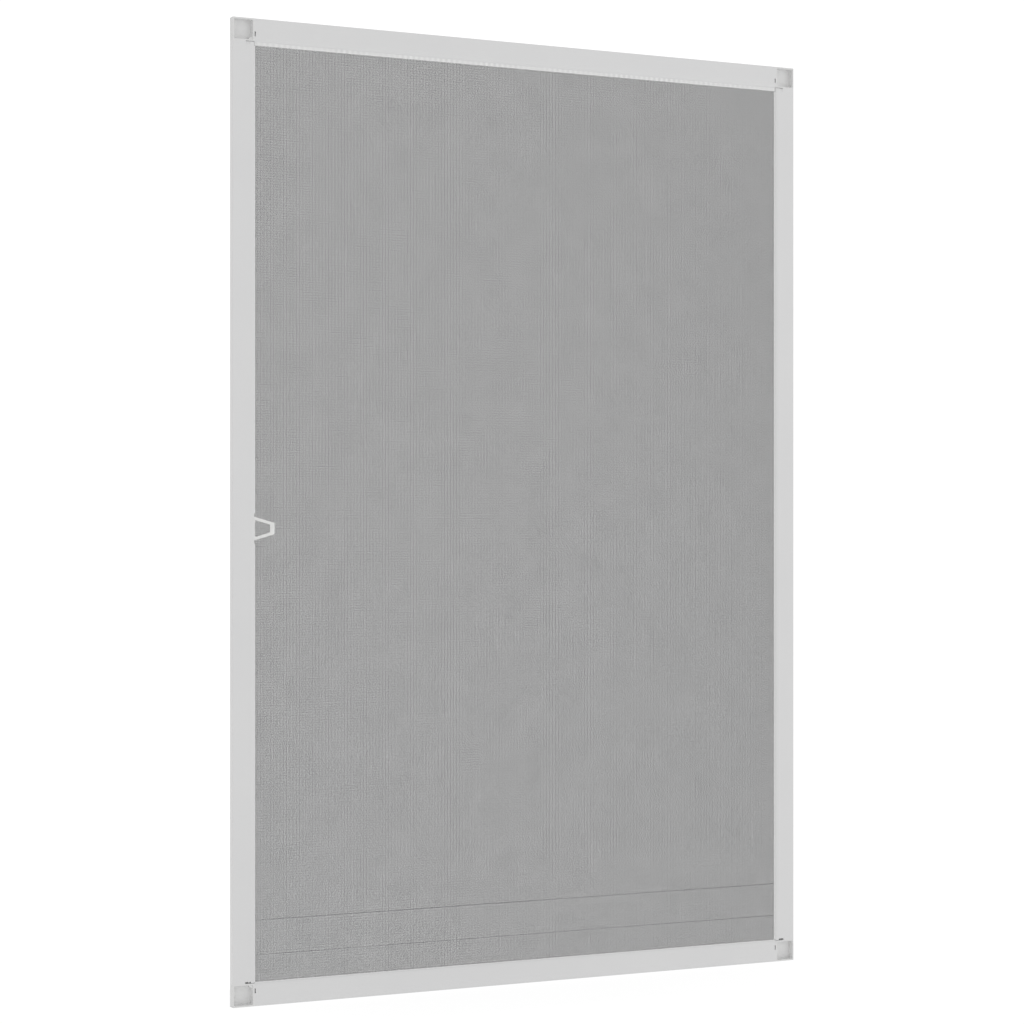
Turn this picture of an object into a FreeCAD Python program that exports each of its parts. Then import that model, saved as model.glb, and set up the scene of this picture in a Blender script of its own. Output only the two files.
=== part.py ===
import FreeCAD, Part
import math
import os

# Push-fit insect screen for a window: four hollow rails, four moulded corner
# connectors, a stretched mesh held by strips in a slot, and a pull tab.
# Millimetres. X is the width, Z is up, and the outer face looks along -Y.
# The origin is the middle of the bottom edge, halfway through the depth.

# Overall size
frame_width = 800.0
frame_height = 1200.0
frame_depth = 10.0

# Rail section, measured from the rail's outer edge towards the mesh
rail_width = 28.4
rail_wall = 1.2
edge_radius = 0.8
bevel_width = 4.8
bevel_drop = 1.15
chamber_width = 20.0

# Slot in the rail's inner edge that holds the mesh and its strip
slot_front = 1.5
slot_depth = 6.0
slot_lip = 1.1
slot_lip_setback = 1.6

# Strips that clamp the mesh in the slot
strip_thickness = 1.2
strip_core = 0.8
strip_barbs = 3
strip_smooth_end = 1.5
strip_barb_slope = 0.9
strip_nose_radius = 0.45
strip_play = 0.05
strip_tuck = 5.6
strip_end_gap = 0.4
proud_top = 4.4
proud_bottom = 0.85
proud_side = 1.2

# Insect mesh: a woven sheet drawn as ridges on a thin web with small gaps
web_thickness = 0.16
thread_height = 0.12
thread_width = 1.1
thread_pitch = 10.0
mesh_tuck = 5.0
mesh_play = 0.05
gap_columns = 9
gap_rows = 13
marker_height_upper = 104.0
marker_height_lower = 61.2
marker_width = 1.8
gap_border = 1.0
thread_slope = 0.22

# Corner connectors
pocket_size = 24.2
pocket_rim = 2.0
pocket_floor = 1.2
pocket_radius = 1.2
gusset_size = 5.5
gusset_drop = 1.0
leg_length = 42.0
leg_root = 7.0
leg_clearance = 0.15
leg_wall = 2.0
leg_back = 2.2
leg_ribs = 3
leg_rib_thickness = 1.6
leg_lead = 2.0

# Where the rails meet the connectors: a slit at each end of the level rails, and on
# the uprights a hole across the lower joint and a shallow ramp below the upper one
slit_middle = 18.8
slit_span = 6.0
slit_width = 1.5
slit_radius = 0.6
hole_middle = 19.8
hole_span = 7.4
hole_above = 2.1
hole_below = 0.6
hole_radius = 0.5
joint_cut_depth = 6.4
ramp_middle = 20.0
ramp_span = 6.4
ramp_flank = 1.1
ramp_length = 5.4
ramp_depth = 1.0

# A fine groove in the connector along the joint, from the ramp or hole to the mesh
groove_width = 0.6
groove_depth = 2.4

# Pull tab: a soft flat loop whose foot sits in the left rail's slot
tab_height = 580.3
tab_reach = 26.1
tab_root = 28.8
tab_tip = 13.8
tab_arm = 3.6
tab_end = 5.8
tab_thickness = 1.2
tab_foot_length = 36.0
tab_foot_play = 0.3
tab_lift = 1.3
tab_corner_radius = 2.2
tab_hole_radius = 1.1
tab_hole_inset = 1.0
tab_seam = 0.2

# How far a cutting solid runs past what it cuts, and how close two lengths count as equal
past = 1.0
close = 1e-6

half_width = frame_width / 2.0
half_depth = frame_depth / 2.0
opening_half = half_width - rail_width
mesh_thickness = web_thickness + 2.0 * thread_height
strip_back = slot_front + strip_play + strip_thickness
mesh_front = strip_back + mesh_play
slot_back = mesh_front + mesh_thickness + mesh_play
slot_root = rail_width - slot_depth
chamber_end = rail_wall + chamber_width


def vec(x, y, z):
    return FreeCAD.Vector(x, y, z)


def box(x0, x1, y0, y1, z0, z1):
    return Part.makeBox(x1 - x0, y1 - y0, z1 - z0, vec(x0, y0, z0))


# A section point: u runs from the outer edge inwards (up), v runs front to back
def section_point(x, u, v):
    return vec(x, v - half_depth, u)


def closed_wire(points):
    return Part.makePolygon(points + [points[0]])


def prism(points, direction):
    return Part.Face(closed_wire(points)).extrude(direction)


# Everything is built as a bottom rail and turned to its side
def to_side(shape, side):
    turned = shape.copy()
    if side == "top":
        turned.rotate(vec(0, 0, 0), vec(0, 1, 0), 180)
        turned.translate(vec(0, 0, frame_height))
    if side == "left":
        turned.rotate(vec(0, 0, 0), vec(0, 1, 0), 90)
        turned.translate(vec(-half_width, 0, frame_height / 2.0))
    if side == "right":
        turned.rotate(vec(0, 0, 0), vec(0, 1, 0), -90)
        turned.translate(vec(half_width, 0, frame_height / 2.0))
    return turned


def side_length(side):
    if side in ("top", "bottom"):
        return frame_width - 2.0 * rail_width
    return frame_height - 2.0 * rail_width


# Outline of the extrusion: a tube whose face runs on past it as the slot's front lip,
# with a shallow crowned bevel, and a shorter lip behind the slot
def rail_outline(x):
    lip_end = rail_width - slot_lip_setback
    lip_back = slot_back + slot_lip
    bevel_start = rail_width - bevel_width
    bevel_middle = rail_width - bevel_width / 2.0
    r = edge_radius
    k = r * (1.0 - math.sqrt(0.5))

    def at(u, v):
        return section_point(x, u, v)

    edges = [
        Part.Arc(at(r, 0), at(k, k), at(0, r)).toShape(),
        Part.makeLine(at(0, r), at(0, frame_depth - r)),
        Part.Arc(at(0, frame_depth - r), at(k, frame_depth - k), at(r, frame_depth)).toShape(),
        Part.makeLine(at(r, frame_depth), at(slot_root, frame_depth)),
        Part.makeLine(at(slot_root, frame_depth), at(slot_root, lip_back)),
        Part.makeLine(at(slot_root, lip_back), at(lip_end, lip_back)),
        Part.makeLine(at(lip_end, lip_back), at(lip_end, slot_back)),
        Part.makeLine(at(lip_end, slot_back), at(slot_root, slot_back)),
        Part.makeLine(at(slot_root, slot_back), at(slot_root, slot_front)),
        Part.makeLine(at(slot_root, slot_front), at(rail_width, slot_front)),
        Part.makeLine(at(rail_width, slot_front), at(rail_width, bevel_drop)),
        Part.Arc(
            at(rail_width, bevel_drop), at(bevel_middle, bevel_drop / 4.0), at(bevel_start, 0)
        ).toShape(),
        Part.makeLine(at(bevel_start, 0), at(r, 0)),
    ]
    return Part.Wire(edges)


def chamber_outline(x):
    back = frame_depth - rail_wall
    points = [(rail_wall, rail_wall), (chamber_end, rail_wall), (chamber_end, back), (rail_wall, back)]
    return closed_wire([section_point(x, u, v) for u, v in points])


# A hole beside the joint at x, reaching along the rail, with its far corners rounded
def joint_hole(x, reach, middle, span, radius):
    far = x + reach
    hole = box(
        min(x, far), max(x, far), -half_depth - past, joint_cut_depth - half_depth,
        middle - span / 2.0, middle + span / 2.0,
    )
    corners = [
        e for e in hole.Edges
        if abs(e.BoundBox.XMin - far) < close and e.BoundBox.XLength < close and e.BoundBox.ZLength < close
    ]
    return hole.makeFillet(radius, corners)


def level_slit(x, along):
    return joint_hole(x, along * slit_width, slit_middle, slit_span, slit_radius)


# The hole lies mostly in the rail, above the joint, and a little in the connector
def upright_hole(x, along):
    return joint_hole(x, along * hole_above, hole_middle, hole_span, hole_radius)


def connector_hole(x):
    return joint_hole(x, -hole_below, hole_middle, hole_span, hole_radius)


# A dent with sloping flanks that dips from the rail's face down to the joint
def upright_ramp(x, along):
    front = -half_depth
    deep = front + ramp_depth
    far = x + along * ramp_length
    half = ramp_span / 2.0
    inner = half - ramp_flank
    a, b = vec(x, front, ramp_middle - half), vec(x, front, ramp_middle + half)
    c, d = vec(x, deep, ramp_middle + inner), vec(x, deep, ramp_middle - inner)
    e, f = vec(far, front, ramp_middle - inner), vec(far, front, ramp_middle + inner)
    faces = [Part.Face(closed_wire(points)) for points in (
        [a, b, c, d], [d, c, f, e], [a, d, e], [b, c, f], [a, b, f, e],
    )]
    return Part.Solid(Part.Shell(faces))


# The groove lies in the connector, so it runs back from the joint at x
def joint_groove(x):
    start = ramp_middle - ramp_span / 2.0
    return box(x - groove_width, x, -half_depth - past, groove_depth - half_depth, start, rail_width + past)


# The cuts at a rail's two ends, which the turn to its side carries round
def end_cuts(side):
    if side == "left":
        return upright_ramp, upright_hole
    if side == "right":
        return upright_hole, upright_ramp
    return level_slit, level_slit


def rail(side):
    length = side_length(side)
    end = length / 2.0
    section = Part.Face([rail_outline(-end), chamber_outline(-end)])
    start_cut, end_cut = end_cuts(side)
    body = section.extrude(vec(length, 0, 0))
    body = body.cut(start_cut(-end, 1)).cut(end_cut(end, -1))
    return to_side(body, side)


# Strip section: a barbed stem in the slot and a round nose towards the mesh
def strip_outline(x, proud):
    front = slot_front + strip_play
    root = rail_width - strip_tuck
    nose = rail_width + proud
    stem_end = rail_width - strip_smooth_end
    step = (stem_end - root) / strip_barbs
    barb = strip_thickness - strip_core
    r = strip_nose_radius
    k = r * (1.0 - math.sqrt(0.5))
    points = [section_point(x, root, strip_back), section_point(x, root, front + barb)]
    for i in range(strip_barbs):
        points.append(section_point(x, root + (i + strip_barb_slope) * step, front))
        points.append(section_point(x, root + (i + 1) * step, front + barb))
    points[-1] = section_point(x, stem_end, front)
    points.append(section_point(x, nose - r, front))
    edges = [Part.makeLine(a, b) for a, b in zip(points, points[1:])]
    edges.append(
        Part.Arc(
            section_point(x, nose - r, front), section_point(x, nose - k, front + k),
            section_point(x, nose, front + r),
        ).toShape()
    )
    edges.append(Part.makeLine(section_point(x, nose, front + r), section_point(x, nose, strip_back)))
    edges.append(Part.makeLine(section_point(x, nose, strip_back), points[0]))
    return Part.Wire(edges)


def strip(side, proud):
    length = side_length(side) - 2.0 * strip_end_gap
    body = Part.Face(strip_outline(-length / 2.0, proud)).extrude(vec(length, 0, 0))
    return to_side(body, side)


# The side strips stop short of the level ones, which stand further into the opening
def side_strip(side):
    low = rail_width + proud_bottom + strip_end_gap
    high = frame_height - rail_width - proud_top - strip_end_gap
    return strip(side, proud_side).common(box(-half_width, half_width, -half_depth, half_depth, low, high))


# The left strip comes in two lengths, one each side of the pull tab's foot
def left_strips():
    half_foot = tab_foot_length / 2.0 + tab_foot_play
    cutter = box(
        -half_width, -opening_half + proud_side + past, -half_depth, half_depth,
        tab_height - half_foot, tab_height + half_foot,
    )
    lengths = side_strip("left").cut(cutter).Solids
    return sorted(lengths, key=lambda solid: solid.CenterOfMass.z)


# One face of the weave: a comb of low ridges, extruded along the threads
def thread_comb(start, end, base, tip):
    count = int((end - start) // thread_pitch)
    first = (start + end - (count - 1) * thread_pitch) / 2.0
    points = [(start, base)]
    for i in range(count):
        middle = first + i * thread_pitch
        points.append((middle - thread_width / 2.0, base))
        points.append((middle - thread_width / 2.0 + thread_slope, tip))
        points.append((middle + thread_width / 2.0 - thread_slope, tip))
        points.append((middle + thread_width / 2.0, base))
    points.append((end, base))
    return points, first


def mesh_gaps(x_first, z_first, x_limit, z_low, z_high, y0, y1):
    half = (thread_pitch - thread_width) / 2.0 - gap_border
    columns = int((2.0 * x_limit) // thread_pitch) - 2
    rows = int((z_high - z_low) // thread_pitch) - 2
    tools = []
    for i in range(gap_columns):
        column = 1 + int(round((i + 0.5) * columns / gap_columns))
        x = x_first + (column + 0.5) * thread_pitch
        for j in range(gap_rows):
            row = 1 + int(round((j + 0.5) * rows / gap_rows))
            z = z_first + (row + 0.5) * thread_pitch
            tools.append(box(x - half, x + half, y0 - past, y1 + past, z - half, z + half))
    return Part.makeCompound(tools)


def insect_mesh():
    front = mesh_front - half_depth
    back = front + mesh_thickness
    web_front = front + thread_height
    web_back = back - thread_height
    middle = (front + back) / 2.0
    reach_x = opening_half + mesh_tuck
    z_low = rail_width - mesh_tuck
    z_high = frame_height - rail_width + mesh_tuck
    inner_low = rail_width + strip_end_gap
    inner_high = frame_height - rail_width - strip_end_gap
    inner_x = opening_half - strip_end_gap

    comb, z_first = thread_comb(z_low, z_high, web_front, front)
    profile = [vec(-reach_x, y, z) for z, y in comb]
    profile += [vec(-reach_x, middle, z_high), vec(-reach_x, middle, z_low)]
    wefts = prism(profile, vec(2.0 * reach_x, 0, 0))

    comb, x_first = thread_comb(-reach_x, reach_x, web_back, back)
    profile = [vec(x, y, z_low) for x, y in comb]
    profile += [vec(reach_x, middle, z_low), vec(-reach_x, middle, z_low)]
    warps = prism(profile, vec(0, 0, z_high - z_low))

    sheet = wefts.fuse(warps)
    for height in (marker_height_lower, marker_height_upper):
        marker = box(
            -reach_x, reach_x, front, middle, height - marker_width / 2.0, height + marker_width / 2.0
        )
        sheet = sheet.fuse(marker)
    sheet = sheet.cut(mesh_gaps(x_first, z_first, reach_x, z_low, z_high, front, back))
    for x0, x1 in ((-reach_x - past, -inner_x), (inner_x, reach_x + past)):
        for z0, z1 in ((z_low - past, inner_low), (inner_high, z_high + past)):
            sheet = sheet.cut(box(x0, x1, front - past, back + past, z0, z1))
    return sheet.removeSplitter()


# A leg that fills the rail's chamber: a solid root, then a ribbed trough open to the front
def connector_leg():
    u0 = rail_wall + leg_clearance
    u1 = chamber_end - leg_clearance
    y0 = rail_wall + leg_clearance - half_depth
    y1 = half_depth - rail_wall - leg_clearance
    x0 = rail_width
    x1 = rail_width + leg_length
    leg = box(x0 - past, x1, y0, y1, u0, u1)
    tip_edges = [
        e for e in leg.Edges
        if abs(e.BoundBox.XMin - x1) < close and abs(e.BoundBox.XMax - x1) < close
    ]
    leg = leg.makeChamfer(leg_lead / 2.0, tip_edges)
    span = leg_length - leg_root - leg_wall
    bay = (span - leg_ribs * leg_rib_thickness) / (leg_ribs + 1)
    for i in range(leg_ribs + 1):
        start = x0 + leg_root + i * (bay + leg_rib_thickness)
        hollow = box(start, start + bay, y0 - past, y1 - leg_back, u0 + leg_wall, u1 - leg_wall)
        leg = leg.cut(hollow)
    return leg


# Swaps X and Z, so that a shape on the bottom rail lies on the left rail
def swapped(shape):
    return shape.mirror(vec(0, 0, 0), vec(1, 0, -1))


def pocket_tool():
    low = pocket_rim
    high = pocket_rim + pocket_size
    floor = half_depth - pocket_floor
    tool = box(low, high, -half_depth - past, floor, low, high)
    upright = [e for e in tool.Edges if abs(e.BoundBox.YLength - (floor + half_depth + past)) < close]
    tool = tool.makeFillet(pocket_radius, upright)
    web_face = -half_depth + gusset_drop
    gusset = prism(
        [vec(high + past, web_face, high + past), vec(high - gusset_size - past, web_face, high + past),
         vec(high + past, web_face, high - gusset_size - past)],
        vec(0, frame_depth, 0),
    )
    return tool.cut(gusset)


def corner_block():
    block = box(0, rail_width, -half_depth, half_depth, 0, rail_width)
    outer = [
        e for e in block.Edges
        if (e.BoundBox.XMax < close and e.BoundBox.ZMax < close)
        or (e.BoundBox.XMax < close and e.BoundBox.YLength < close)
        or (e.BoundBox.ZMax < close and e.BoundBox.YLength < close)
    ]
    block = block.makeFillet(edge_radius, outer)
    return block.cut(pocket_tool())


# Built for the bottom left and mirrored to the other three corners
def corner_connector(mirror_x, mirror_z):
    leg = connector_leg()
    body = corner_block().fuse([leg, swapped(leg)])
    body = body.cut(level_slit(rail_width, 1)).cut(swapped(joint_groove(rail_width)))
    if not mirror_z:
        body = body.cut(swapped(connector_hole(rail_width))).cut(swapped(upright_hole(rail_width, 1)))
    body = body.removeSplitter()
    body.translate(vec(-half_width, 0, 0))
    if mirror_x:
        body = body.mirror(vec(0, 0, 0), vec(1, 0, 0))
    if mirror_z:
        body = body.mirror(vec(0, 0, frame_height / 2.0), vec(0, 0, 1))
    return body


# A loop that narrows towards its tip, hinged at the slot's mouth and lifted a little
def pull_tab():
    front = slot_front + strip_play - half_depth
    mouth = -opening_half
    tip = mouth + tab_reach
    thick = vec(0, tab_thickness, 0)

    def at(x, z):
        return vec(x, front, tab_height + z)

    outer = [
        at(mouth, -tab_root / 2.0), at(tip, -tab_tip / 2.0),
        at(tip, tab_tip / 2.0), at(mouth, tab_root / 2.0),
    ]
    loop = Part.Face(closed_wire(outer)).extrude(thick)
    tip_edges = [
        e for e in loop.Edges
        if e.BoundBox.XLength < close and e.BoundBox.ZLength < close and abs(e.BoundBox.XMin - tip) < close
    ]
    loop = loop.makeFillet(tab_corner_radius, tip_edges)
    slant = (tab_root - tab_tip) / 2.0 / tab_reach
    arm = tab_arm * math.sqrt(1.0 + slant * slant)
    root_half = tab_root / 2.0 - arm
    end_half = tab_root / 2.0 - slant * (tab_reach - tab_end) - arm
    hole_points = [
        at(mouth + tab_hole_inset, -root_half + slant * tab_hole_inset), at(tip - tab_end, -end_half),
        at(tip - tab_end, end_half), at(mouth + tab_hole_inset, root_half - slant * tab_hole_inset),
    ]
    hole = Part.Face(closed_wire([p - thick for p in hole_points])).extrude(thick * 3.0)
    hole_edges = [e for e in hole.Edges if abs(e.BoundBox.YLength - 3.0 * tab_thickness) < close]
    hole = hole.makeFillet(tab_hole_radius, hole_edges)
    loop = loop.cut(hole)
    loop.rotate(vec(mouth, front + tab_thickness, tab_height), vec(0, 0, 1),
                -math.degrees(math.atan2(tab_lift, tab_reach)))
    foot = box(
        mouth - strip_tuck, mouth + tab_seam, front, front + tab_thickness,
        tab_height - tab_foot_length / 2.0, tab_height + tab_foot_length / 2.0,
    )
    return loop.fuse(foot).removeSplitter()


def save(name, shape):
    solids = shape.Solids
    if len(solids) == 1:
        shape = solids[0]
    print(name, len(solids), shape.isValid(), round(shape.Volume, 1))
    shape.exportStep("parts/" + name + ".step")


def main():
    os.makedirs("parts", exist_ok=True)
    for side in ("top", "bottom", "left", "right"):
        save("rail_" + side, rail(side))
    save("strip_top", strip("top", proud_top))
    save("strip_bottom", strip("bottom", proud_bottom))
    lower, upper = left_strips()
    save("strip_left_lower", lower)
    save("strip_left_upper", upper)
    save("strip_right", side_strip("right"))
    for vertical, mirror_z in (("bottom", False), ("top", True)):
        for horizontal, mirror_x in (("left", False), ("right", True)):
            save("corner_" + vertical + "_" + horizontal, corner_connector(mirror_x, mirror_z))
    save("insect_mesh", insect_mesh())
    save("pull_tab", pull_tab())


main()
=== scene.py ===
import bpy
import math
import random
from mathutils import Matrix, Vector


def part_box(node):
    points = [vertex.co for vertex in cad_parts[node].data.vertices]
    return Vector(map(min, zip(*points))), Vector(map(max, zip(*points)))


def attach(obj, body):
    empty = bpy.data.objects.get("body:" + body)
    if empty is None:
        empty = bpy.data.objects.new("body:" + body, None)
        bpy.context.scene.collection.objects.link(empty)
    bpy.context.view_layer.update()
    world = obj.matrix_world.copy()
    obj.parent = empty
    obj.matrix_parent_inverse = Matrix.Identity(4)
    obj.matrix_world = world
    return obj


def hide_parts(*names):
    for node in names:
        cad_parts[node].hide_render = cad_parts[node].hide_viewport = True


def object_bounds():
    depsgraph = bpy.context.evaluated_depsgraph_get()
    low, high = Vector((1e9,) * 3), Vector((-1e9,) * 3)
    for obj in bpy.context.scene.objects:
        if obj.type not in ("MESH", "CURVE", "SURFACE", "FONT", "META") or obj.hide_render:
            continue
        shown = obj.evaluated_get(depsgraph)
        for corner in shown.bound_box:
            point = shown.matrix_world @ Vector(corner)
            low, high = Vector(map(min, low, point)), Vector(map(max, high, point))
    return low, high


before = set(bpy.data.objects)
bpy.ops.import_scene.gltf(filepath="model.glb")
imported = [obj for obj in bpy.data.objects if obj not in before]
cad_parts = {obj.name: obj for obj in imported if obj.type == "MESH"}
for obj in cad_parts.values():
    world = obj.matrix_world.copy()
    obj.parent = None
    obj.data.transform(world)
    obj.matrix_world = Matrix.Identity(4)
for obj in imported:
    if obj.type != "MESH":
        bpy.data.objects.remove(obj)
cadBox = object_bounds()
print("frame loaded")

mm = 0.001
screenWidth = cadBox[1][0] - cadBox[0][0]
screenHeight = cadBox[1][2] - cadBox[0][2]
frontPlane = cadBox[0][1]
railNames = ["rail_top", "rail_bottom", "rail_left", "rail_right"]
cornerNames = ["corner_top_left", "corner_top_right", "corner_bottom_left", "corner_bottom_right"]
stripNames = ["strip_top", "strip_bottom", "strip_left_lower", "strip_left_upper", "strip_right"]


def newMaterial(name):
    material = bpy.data.materials.new(name)
    material.use_nodes = True
    nodes = material.node_tree.nodes
    return material, nodes, material.node_tree.links, nodes["Principled BSDF"]


def noiseOf(nodes, links, place, scale, detail, stretch=(1.0, 1.0, 1.0)):
    mapping = nodes.new("ShaderNodeMapping")
    mapping.inputs["Scale"].default_value = stretch
    links.new(place, mapping.inputs["Vector"])
    noise = nodes.new("ShaderNodeTexNoise")
    noise.inputs["Scale"].default_value = scale
    noise.inputs["Detail"].default_value = detail
    links.new(mapping.outputs["Vector"], noise.inputs["Vector"])
    return noise.outputs["Fac"]


def rampOf(nodes, links, value, low, high, lowAt=0.3, highAt=0.7):
    ramp = nodes.new("ShaderNodeValToRGB")
    ramp.color_ramp.elements[0].position = lowAt
    ramp.color_ramp.elements[0].color = (*low, 1.0)
    ramp.color_ramp.elements[1].position = highAt
    ramp.color_ramp.elements[1].color = (*high, 1.0)
    links.new(value, ramp.inputs["Fac"])
    return ramp.outputs["Color"]


def rangeOf(nodes, links, value, low, high, lowAt=0.3, highAt=0.7):
    change = nodes.new("ShaderNodeMapRange")
    change.inputs["From Min"].default_value = lowAt
    change.inputs["From Max"].default_value = highAt
    change.inputs["To Min"].default_value = low
    change.inputs["To Max"].default_value = high
    links.new(value, change.inputs["Value"])
    return change.outputs["Result"]


def bumpOf(nodes, links, height, strength, distance, under=None):
    bump = nodes.new("ShaderNodeBump")
    bump.inputs["Strength"].default_value = strength
    bump.inputs["Distance"].default_value = distance
    links.new(height, bump.inputs["Height"])
    if under is not None:
        links.new(under, bump.inputs["Normal"])
    return bump.outputs["Normal"]


def mathOf(nodes, links, operation, a, b):
    node = nodes.new("ShaderNodeMath")
    node.operation = operation
    for socket, value in zip(node.inputs, (a, b)):
        if isinstance(value, (int, float)):
            socket.default_value = value
        else:
            links.new(value, socket)
    return node.outputs["Value"]


def mixOf(nodes, links, share, first, second):
    mix = nodes.new("ShaderNodeMix")
    mix.data_type = "RGBA"
    for socket, value in ((mix.inputs["Factor"], share), (mix.inputs["A"], first), (mix.inputs["B"], second)):
        if isinstance(value, tuple):
            socket.default_value = (*value, 1.0)
        else:
            links.new(value, socket)
    return mix.outputs["Result"]


# one where the surface lies between two distances from the frame's outer edge and two depths, else zero
def insideOf(nodes, links, place, fromEdge, depths):
    parts = nodes.new("ShaderNodeSeparateXYZ")
    links.new(place, parts.inputs["Vector"])
    x = mathOf(nodes, links, "ABSOLUTE", parts.outputs["X"], 0.0)
    z = parts.outputs["Z"]
    fromSide = mathOf(nodes, links, "SUBTRACT", screenWidth / 2, x)
    fromTop = mathOf(nodes, links, "SUBTRACT", screenHeight, z)
    distance = mathOf(nodes, links, "MINIMUM", fromSide, mathOf(nodes, links, "MINIMUM", z, fromTop))
    tests = [
        mathOf(nodes, links, "GREATER_THAN", distance, fromEdge[0]),
        mathOf(nodes, links, "LESS_THAN", distance, fromEdge[1]),
        mathOf(nodes, links, "GREATER_THAN", parts.outputs["Y"], depths[0]),
        mathOf(nodes, links, "LESS_THAN", parts.outputs["Y"], depths[1]),
    ]
    inside = tests[0]
    for test in tests[1:]:
        inside = mathOf(nodes, links, "MULTIPLY", inside, test)
    return inside


# white powder coat outside, bare extruded metal inside the chamber and on sawn walls
railPaint = {
    "paint": (0.70, 0.70, 0.70),
    "paintShade": (0.685, 0.685, 0.687),
    "bareMetal": (0.42, 0.42, 0.43),
    "roughness": (0.36, 0.48),
    "grainScale": 900.0,
    "grainDetail": 2.0,
    "grainHeight": 0.04 * mm,
    "grainStrength": 0.35,
    "waveScale": 9.0,
    "waveDetail": 4.0,
    "bareFromEdge": (0.9 * mm, 21.5 * mm),
    "bareDepths": (-3.86 * mm, 3.86 * mm),
}


def makeRailPaint():
    s = railPaint
    material, nodes, links, shader = newMaterial("whiteRailPaint")
    place = nodes.new("ShaderNodeNewGeometry").outputs["Position"]
    bare = insideOf(nodes, links, place, s["bareFromEdge"], s["bareDepths"])
    waves = noiseOf(nodes, links, place, s["waveScale"], s["waveDetail"])
    paint = rampOf(nodes, links, waves, s["paintShade"], s["paint"])
    links.new(mixOf(nodes, links, bare, paint, s["bareMetal"]), shader.inputs["Base Color"])
    links.new(bare, shader.inputs["Metallic"])
    grain = noiseOf(nodes, links, place, s["grainScale"], s["grainDetail"])
    links.new(rangeOf(nodes, links, grain, *s["roughness"]), shader.inputs["Roughness"])
    links.new(bumpOf(nodes, links, grain, s["grainStrength"], s["grainHeight"]), shader.inputs["Normal"])
    return material


# moulded polypropylene with a fine spark-eroded grain, painted lighter inside the pockets: painted light that
# lifts the pockets' shade
cornerPlastic = {
    "colour": (0.71, 0.71, 0.707),
    "shade": (0.675, 0.675, 0.673),
    "roughness": (0.5, 0.64),
    "grainScale": 1600.0,
    "grainDetail": 3.0,
    "grainHeight": 0.05 * mm,
    "grainStrength": 0.4,
    "flowScale": 60.0,
    "flowDetail": 5.0,
    "flowStretch": (1.0, 1.0, 0.35),
    # a lighter copy of the plastic's colours for inside the pockets: painted light over the shade of the
    # recess
    "paintedPocketLightColour": (0.78, 0.78, 0.777),
    "paintedPocketLightShade": (0.745, 0.745, 0.743),
    "paintedPocketLightFromEdge": (1.6 * mm, 27.0 * mm),
    "paintedPocketLightDepths": (-4.0 * mm, 4.4 * mm),
}


def makeCornerPlastic():
    s = cornerPlastic
    material, nodes, links, shader = newMaterial("mouldedCornerPlastic")
    place = nodes.new("ShaderNodeNewGeometry").outputs["Position"]
    flow = noiseOf(nodes, links, place, s["flowScale"], s["flowDetail"], s["flowStretch"])
    outside = rampOf(nodes, links, flow, s["shade"], s["colour"])
    # inside the pockets the lighter copy of the plastic, painted light against the recess's shade
    paintedPocketLight = rampOf(nodes, links, flow, s["paintedPocketLightShade"], s["paintedPocketLightColour"])
    inside = insideOf(nodes, links, place, s["paintedPocketLightFromEdge"], s["paintedPocketLightDepths"])
    links.new(mixOf(nodes, links, inside, outside, paintedPocketLight), shader.inputs["Base Color"])
    grain = noiseOf(nodes, links, place, s["grainScale"], s["grainDetail"])
    links.new(rangeOf(nodes, links, grain, *s["roughness"]), shader.inputs["Roughness"])
    links.new(bumpOf(nodes, links, grain, s["grainStrength"], s["grainHeight"]), shader.inputs["Normal"])
    return material


# extruded soft vinyl: faint draw lines along it, and here and there the crimps of the fitting wheel, drawn as
# a bump and also as light and dark bands in the colour, a painted highlight and shade
stripVinyl = {
    "colour": (0.83, 0.83, 0.827),
    "shade": (0.67, 0.67, 0.668),
    # whiter colours for the strips that lie low in their slot: painted light over the slot's shade
    "paintedSlotLightColour": (0.89, 0.89, 0.887),
    "paintedSlotLightShade": (0.77, 0.77, 0.768),
    "roughness": (0.42, 0.55),
    "shadeAt": (0.2, 0.8),
    "lineScale": 700.0,
    "lineDetail": 3.0,
    "lineDraw": 0.02,
    "lineHeight": 0.05 * mm,
    "lineStrength": 0.4,
    "crimpPitch": 7.5 * mm,
    "crimpHeight": 0.12 * mm,
    "crimpStrength": 0.6,
    "driftScale": 22.0,
    "driftDetail": 2.0,
    "driftAt": (0.35, 0.65),
    "crimpSwing": (0.05, 0.35),
    # share of the crimps in the colour: their painted highlight and shade
    "paintedCrimpLightShare": 0.6,
}


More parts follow.
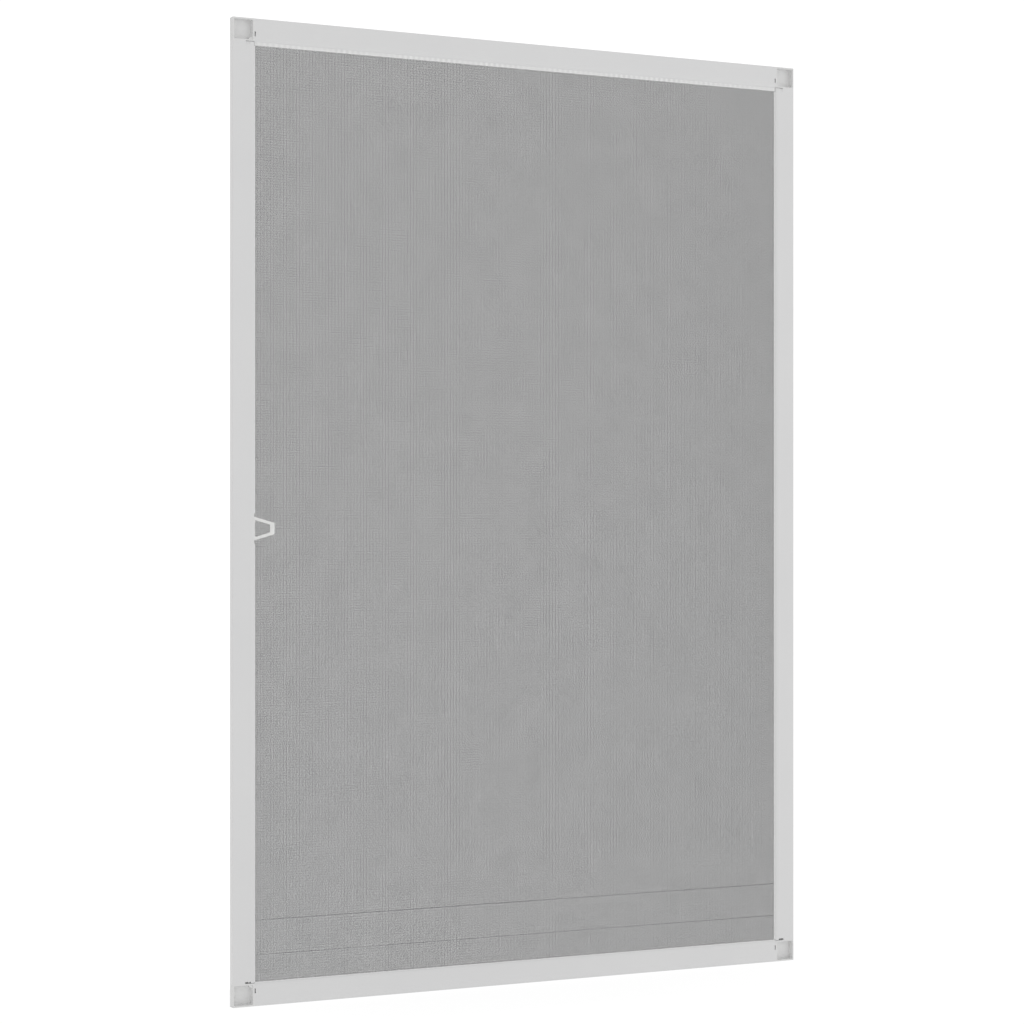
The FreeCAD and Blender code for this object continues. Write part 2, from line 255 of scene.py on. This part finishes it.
# the strips that lie low in their rail's slot get a whiter vinyl than the top one: painted light that lifts
# the slot's shade on them
def makeStripVinyl(name, alongX, low):
    s = stripVinyl
    # the low strips take the whiter colours, painted light over their slot's shade
    colour, shade = (s["paintedSlotLightColour"], s["paintedSlotLightShade"]) if low else (s["colour"], s["shade"])
    material, nodes, links, shader = newMaterial(name)
    place = nodes.new("ShaderNodeNewGeometry").outputs["Position"]
    stretch = (s["lineDraw"], 1.0, 1.0) if alongX else (1.0, 1.0, s["lineDraw"])
    lines = noiseOf(nodes, links, place, s["lineScale"], s["lineDetail"], stretch)
    parts = nodes.new("ShaderNodeSeparateXYZ")
    links.new(place, parts.inputs["Vector"])
    along = parts.outputs["X" if alongX else "Z"]
    turns = mathOf(nodes, links, "MULTIPLY", along, 2 * math.pi / s["crimpPitch"])
    waves = mathOf(nodes, links, "SINE", turns, 0.0)
    drift = noiseOf(nodes, links, place, s["driftScale"], s["driftDetail"])
    swing = rangeOf(nodes, links, drift, *s["crimpSwing"], *s["driftAt"])
    crimps = mathOf(nodes, links, "ADD", mathOf(nodes, links, "MULTIPLY", waves, swing), 0.5)
    # the crimps' wave in the colour is painted highlight and shade, and the draw lines are the vinyl's own
    # tone
    linesAndPaintedCrimpLight = mathOf(nodes, links, "ADD", mathOf(nodes, links, "MULTIPLY", crimps, s["paintedCrimpLightShare"]),
                    mathOf(nodes, links, "MULTIPLY", lines, 1.0 - s["paintedCrimpLightShare"]))
    tone = rampOf(nodes, links, linesAndPaintedCrimpLight, shade, colour, *s["shadeAt"])
    links.new(tone, shader.inputs["Base Color"])
    links.new(rangeOf(nodes, links, lines, *s["roughness"]), shader.inputs["Roughness"])
    pressed = bumpOf(nodes, links, crimps, s["crimpStrength"], s["crimpHeight"])
    drawn = bumpOf(nodes, links, lines, s["lineStrength"], s["lineHeight"], pressed)
    links.new(drawn, shader.inputs["Normal"])
    return material


# glass yarn in a grey vinyl coat, a little uneven from thread to thread
meshVinyl = {
    "colour": (0.125, 0.125, 0.127),
    "shade": (0.085, 0.085, 0.087),
    "marker": (0.07, 0.07, 0.072),
    "roughness": (0.5, 0.66),
    "patchScale": 25.0,
    "patchDetail": 6.0,
    "grainScale": 1300.0,
    "grainDetail": 2.0,
    "grainHeight": 0.03 * mm,
    "grainStrength": 0.5,
    "sheen": 0.1,
}


def makeMeshVinyl(name, colour, shade):
    s = meshVinyl
    material, nodes, links, shader = newMaterial(name)
    place = nodes.new("ShaderNodeNewGeometry").outputs["Position"]
    patches = noiseOf(nodes, links, place, s["patchScale"], s["patchDetail"])
    links.new(rampOf(nodes, links, patches, shade, colour), shader.inputs["Base Color"])
    grain = noiseOf(nodes, links, place, s["grainScale"], s["grainDetail"])
    links.new(rangeOf(nodes, links, grain, *s["roughness"]), shader.inputs["Roughness"])
    links.new(bumpOf(nodes, links, grain, s["grainStrength"], s["grainHeight"]), shader.inputs["Normal"])
    shader.inputs["Sheen Weight"].default_value = s["sheen"]
    return material


# soft milky plastic that lets a little light through
tabPlastic = {
    "colour": (0.80, 0.80, 0.792),
    "shade": (0.755, 0.755, 0.748),
    "roughness": (0.38, 0.5),
    "cloudScale": 180.0,
    "cloudDetail": 3.0,
    "grainScale": 1500.0,
    "grainDetail": 2.0,
    "grainHeight": 0.03 * mm,
    "grainStrength": 0.3,
    "milkiness": 0.35,
    "milkDepth": 0.6 * mm,
    "milkSpread": (1.0, 1.0, 1.0),
}


def makeTabPlastic():
    s = tabPlastic
    material, nodes, links, shader = newMaterial("softTabPlastic")
    place = nodes.new("ShaderNodeNewGeometry").outputs["Position"]
    cloud = noiseOf(nodes, links, place, s["cloudScale"], s["cloudDetail"])
    links.new(rampOf(nodes, links, cloud, s["shade"], s["colour"]), shader.inputs["Base Color"])
    grain = noiseOf(nodes, links, place, s["grainScale"], s["grainDetail"])
    links.new(rangeOf(nodes, links, grain, *s["roughness"]), shader.inputs["Roughness"])
    links.new(bumpOf(nodes, links, grain, s["grainStrength"], s["grainHeight"]), shader.inputs["Normal"])
    shader.inputs["Subsurface Weight"].default_value = s["milkiness"]
    shader.inputs["Subsurface Radius"].default_value = s["milkSpread"]
    shader.inputs["Subsurface Scale"].default_value = s["milkDepth"]
    return material


def dress(name, material):
    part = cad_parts[name]
    part.data.materials.clear()
    part.data.materials.append(material)


def addPiece(name, vertices, faces, material, smooth=False):
    mesh = bpy.data.meshes.new(name)
    mesh.from_pydata(vertices, [], faces)
    mesh.materials.append(material)
    mesh.polygons.foreach_set("use_smooth", [smooth] * len(mesh.polygons))
    mesh.update()
    piece = bpy.data.objects.new(name, mesh)
    bpy.context.collection.objects.link(piece)
    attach(piece, "root")
    return piece


# The weave: straight oval threads, crossing where the coat has fused them, a heavier one at each beat.
# Widths are the mean of a beat. How much a heavy thread exceeds the others is given at the bottom and at
# the top, at the left side, and loses heavyFade of itself by the right side. A marker is a height with the
# widths at its left and right ends.
weave = {
    "warpPitch": 0.85 * mm,
    "weftPitch": 0.795 * mm,
    "warpWidth": 0.422 * mm,
    "weftWidth": 0.351 * mm,
    "threadDepth": 0.36 * mm,
    "markerDepth": 0.414 * mm,
    "warpBeat": 5,
    "weftBeat": 4,
    "warpExtra": (0.12 * mm, 0.16 * mm),
    "weftExtra": (0.085 * mm, 0.12 * mm),
    "heavyFade": 0.25,
    "sides": 6,
    "warpTwist": 0.5,
    "weftTwist": 0.0,
    "unevenness": 0.012 * mm,
    "seed": 7,
    "markers": {104.3 * mm: (0.51 * mm, 0.67 * mm), 61.5 * mm: (0.445 * mm, 0.60 * mm)},
}


# twist turns the section by that share of a side
def addThread(vertices, faces, start, end, widths, depth, across, twist):
    sides = weave["sides"]
    first = len(vertices)
    for point, width in zip((start, end), widths):
        for i in range(sides):
            angle = 2 * math.pi * (i + twist) / sides
            offset = across * (width / 2 * math.cos(angle))
            vertices.append((
                point[0] + offset[0], point[1] + depth / 2 * math.sin(angle), point[2] + offset[2]
            ))
    for i in range(sides):
        j = (i + 1) % sides
        faces.append((first + i, first + j, first + sides + j, first + sides + i))
    faces.append(tuple(first + i for i in reversed(range(sides))))
    faces.append(tuple(first + sides + i for i in range(sides)))


# a beat's heavy thread is wider than its mean and the others are narrower, so the mean is kept
def beatShare(i, beat):
    return 1.0 - 1.0 / beat if i % beat == 0 else -1.0 / beat


def extraAt(extra, place, low, high):
    up = (place[2] - low[2]) / (high[2] - low[2])
    along = (place[0] - low[0]) / (high[0] - low[0])
    return (extra[0] + (extra[1] - extra[0]) * up) * (1.0 - weave["heavyFade"] * along)


def buildWeave():
    s = weave
    low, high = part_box("insect_mesh")
    rng = random.Random(s["seed"])
    middle = (low[1] + high[1]) / 2
    step = (high[1] - low[1] - s["threadDepth"]) / 2
    vertices, faces = [], []

    warpCount = int((high[0] - low[0] - s["warpWidth"]) / s["warpPitch"])
    firstWarp = (low[0] + high[0] - (warpCount - 1) * s["warpPitch"]) / 2
    for i in range(warpCount):
        x = firstWarp + i * s["warpPitch"] + rng.uniform(-1, 1) * s["unevenness"]
        ends = [(x, middle + step, z) for z in (low[2], high[2])]
        share = beatShare(i, s["warpBeat"])
        widths = [s["warpWidth"] + share * extraAt(s["warpExtra"], end, low, high) for end in ends]
        addThread(vertices, faces, *ends, widths, s["threadDepth"], Vector((1, 0, 0)), s["warpTwist"])

    weftCount = int((high[2] - low[2] - s["weftWidth"]) / s["weftPitch"])
    firstWeft = (low[2] + high[2] - (weftCount - 1) * s["weftPitch"]) / 2
    for i in range(weftCount):
        z = firstWeft + i * s["weftPitch"] + rng.uniform(-1, 1) * s["unevenness"]
        if any(abs(z - height) < s["weftPitch"] / 2 for height in s["markers"]):
            continue
        ends = [(x, middle - step, z) for x in (low[0], high[0])]
        share = beatShare(i, s["weftBeat"])
        widths = [s["weftWidth"] + share * extraAt(s["weftExtra"], end, low, high) for end in ends]
        addThread(vertices, faces, *ends, widths, s["threadDepth"], Vector((0, 0, 1)), s["weftTwist"])
    net = addPiece(
        "insectNet", vertices, faces,
        makeMeshVinyl("greyMeshVinyl", meshVinyl["colour"], meshVinyl["shade"]), smooth=True,
    )
    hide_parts("insect_mesh")

    vertices, faces = [], []
    for height, widths in s["markers"].items():
        ends = [(x, middle - step, height) for x in (low[0], high[0])]
        addThread(vertices, faces, *ends, widths, s["markerDepth"], Vector((0, 0, 1)), s["weftTwist"])
    markers = addPiece(
        "markerThreads", vertices, faces,
        makeMeshVinyl("darkMarkerVinyl", meshVinyl["marker"], meshVinyl["marker"]), smooth=True,
    )
    print("weave:", warpCount, "warps,", weftCount, "wefts")


# The floor ends a little behind the screen, so that all of the mesh is seen against the same even white
studio = {
    "floorSize": 40.0,
    "floorGap": 0.2 * mm,
    "floorBehind": 0.12,
    "floorColour": (0.9, 0.9, 0.9),
    "whiteLevel": 1.08,
    "floorShadow": 0.15,
    "shadowReach": (0.15, 0.6),
    "floorBounce": 0.7,
    "domeStrength": 0.8,
    "keyPlace": (3.2, -3.2, 0.9),
    "keySize": 3.0,
    "keyPower": 12.0,
}


# one for what the camera sees, straight or in metal or glass, and zero for the light that falls on things
def seenDirectly(nodes, links):
    path = nodes.new("ShaderNodeLightPath")
    either = mathOf(nodes, links, "MAXIMUM", path.outputs["Is Camera Ray"], path.outputs["Is Glossy Ray"])
    return mathOf(nodes, links, "MAXIMUM", either, path.outputs["Is Transmission Ray"])


# close to the screen a little of the floor's matte shows, with the shadow, and farther off only white
def buildFloor():
    s = studio
    half = s["floorSize"] / 2
    mesh = bpy.data.meshes.new("floor")
    corners = [(x, y, 0) for y in (-half, s["floorBehind"]) for x in (-half, half)]
    mesh.from_pydata(corners, [], [(0, 1, 3, 2)])
    floor = bpy.data.objects.new("floor", mesh)
    bpy.context.collection.objects.link(floor)
    floor.location.z = cadBox[0][2] - s["floorGap"]
    material = bpy.data.materials.new("paleFloor")
    material.use_nodes = True
    nodes, links = material.node_tree.nodes, material.node_tree.links
    nodes.clear()
    output = nodes.new("ShaderNodeOutputMaterial")
    matte = nodes.new("ShaderNodeBsdfDiffuse")
    matte.inputs["Color"].default_value = (*s["floorColour"], 1.0)
    white = nodes.new("ShaderNodeEmission")
    white.inputs["Strength"].default_value = s["whiteLevel"]
    parts = nodes.new("ShaderNodeSeparateXYZ")
    links.new(nodes.new("ShaderNodeNewGeometry").outputs["Position"], parts.inputs["Vector"])
    away = mathOf(nodes, links, "ABSOLUTE", parts.outputs["Y"], 0.0)
    matteSeen = rangeOf(nodes, links, away, s["floorShadow"], 0.0, *s["shadowReach"])
    whiteSeen = mathOf(nodes, links, "SUBTRACT", 1.0 - s["floorBounce"], matteSeen)
    mix = nodes.new("ShaderNodeMixShader")
    more = mathOf(nodes, links, "MULTIPLY", seenDirectly(nodes, links), whiteSeen)
    links.new(mathOf(nodes, links, "ADD", more, s["floorBounce"]), mix.inputs["Fac"])
    links.new(matte.outputs["BSDF"], mix.inputs[1])
    links.new(white.outputs["Emission"], mix.inputs[2])
    links.new(mix.outputs["Shader"], output.inputs["Surface"])
    mesh.materials.append(material)


def buildWorld():
    world = bpy.data.worlds.new("studioWorld")
    bpy.context.scene.world = world
    world.use_nodes = True
    nodes, links = world.node_tree.nodes, world.node_tree.links
    background = nodes["Background"]
    background.inputs["Color"].default_value = (1, 1, 1, 1)
    direct = seenDirectly(nodes, links)
    strength = rangeOf(nodes, links, direct, studio["domeStrength"], studio["whiteLevel"], 0.0, 1.0)
    links.new(strength, background.inputs["Strength"])


def addLamp(name, place, size, power, target):
    lamp = bpy.data.lights.new(name, "AREA")
    lamp.shape = "SQUARE"
    lamp.size = size
    lamp.energy = power
    holder = bpy.data.objects.new(name, lamp)
    bpy.context.collection.objects.link(holder)
    holder.location = place
    holder.rotation_euler = (Vector(target) - Vector(place)).to_track_quat("-Z", "Y").to_euler()


def buildLights():
    s = studio
    target = (0, 0, screenHeight / 2)
    addLamp("keyLamp", s["keyPlace"], s["keySize"], s["keyPower"], target)


# The photograph's view: level, 26 degrees off the screen's normal, with a small rise of the frame
shot = {
    "place": (-1.4927, -2.9702, 0.5765),
    "turn": 26.327,
    "lens": 91.46,
    "sensor": 36.0,
    "rise": 0.0192,
    "farEnd": 100.0,
}


def buildCamera():
    camera = bpy.data.cameras.new("camera")
    camera.lens = shot["lens"]
    camera.sensor_width = shot["sensor"]
    camera.shift_y = shot["rise"]
    camera.clip_end = shot["farEnd"]
    holder = bpy.data.objects.new("camera", camera)
    bpy.context.collection.objects.link(holder)
    x, y, z = shot["place"]
    holder.location = (x, frontPlane + y, z)
    holder.rotation_euler = (math.pi / 2, 0, -math.radians(shot["turn"]))
    bpy.context.scene.camera = holder


paint = makeRailPaint()
for name in railNames:
    dress(name, paint)
plastic = makeCornerPlastic()
for name in cornerNames:
    dress(name, plastic)
for name in stripNames:
    alongX = name in ("strip_top", "strip_bottom")
    # every strip but the top one gets the whiter vinyl, painted light over its slot's shade
    dress(name, makeStripVinyl(name + "Vinyl", alongX, low=name != "strip_top"))
dress("pull_tab", makeTabPlastic())
print("rails, corners, strips and tab dressed")

buildWeave()
buildFloor()
buildWorld()
buildLights()
buildCamera()
bpy.context.scene.view_settings.view_transform = "Standard"
print("floor, lights and camera set")
